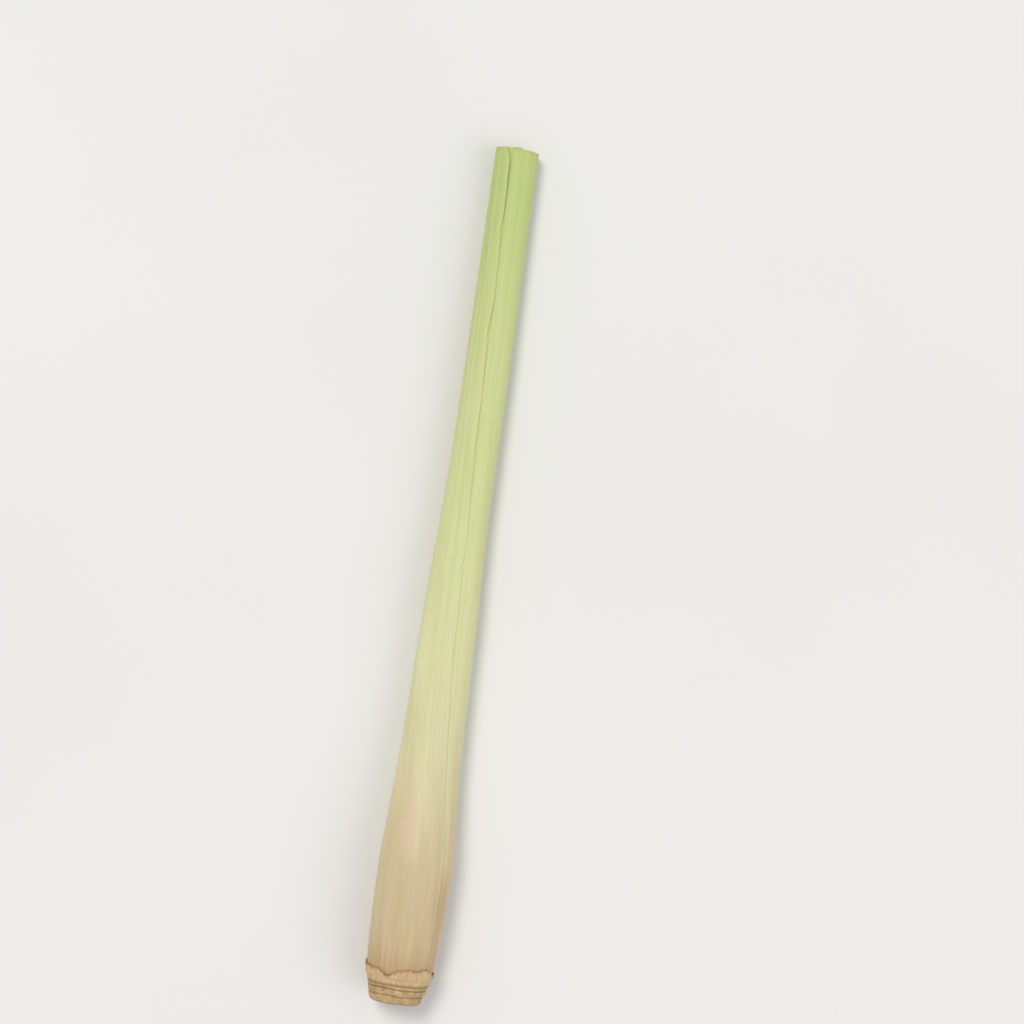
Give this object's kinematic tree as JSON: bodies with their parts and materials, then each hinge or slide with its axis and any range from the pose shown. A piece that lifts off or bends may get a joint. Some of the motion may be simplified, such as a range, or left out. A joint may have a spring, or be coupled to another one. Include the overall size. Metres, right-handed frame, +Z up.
{
  "type": "lemongrass stalk",
  "caption": "Cut lemongrass stalk lying on its side: rolled leaf sheaths, one inside the other, on a short woody crown, swollen at the root end and trimmed straight at the top.",
  "frame": {"origin": "on the surface that the stalk lies on, below the middle of its length and width", "axes": "+Y along the stalk, from the root end to the trimmed top; +Z up from the surface; +X to the right when the stalk is seen from above with its top pointing away"},
  "size_m": [0.0142, 0.1656, 0.0134],
  "materials": {
    "crown_wood": "fresh-cut fibrous wood, straw to tan, matte",
    "dry_leaf": "dry papery leaf base, tan to brown, matte",
    "outer_leaf": "fresh ribbed leaf sheath, pale yellow-green to pinkish cream, waxy satin",
    "inner_leaf": "moist inner leaf sheath, cream to pale green, satin"
  },
  "bodies": {
    "root": {"root_crown": "crown_wood", "stripped_sheath_foot": "dry_leaf", "outer_sheath": "outer_leaf", "second_sheath": "outer_leaf", "third_sheath": "inner_leaf", "fourth_sheath": "inner_leaf", "fifth_sheath": "inner_leaf", "sixth_sheath": "inner_leaf", "heart_leaf": "inner_leaf"}
  },
  "joints": []
}
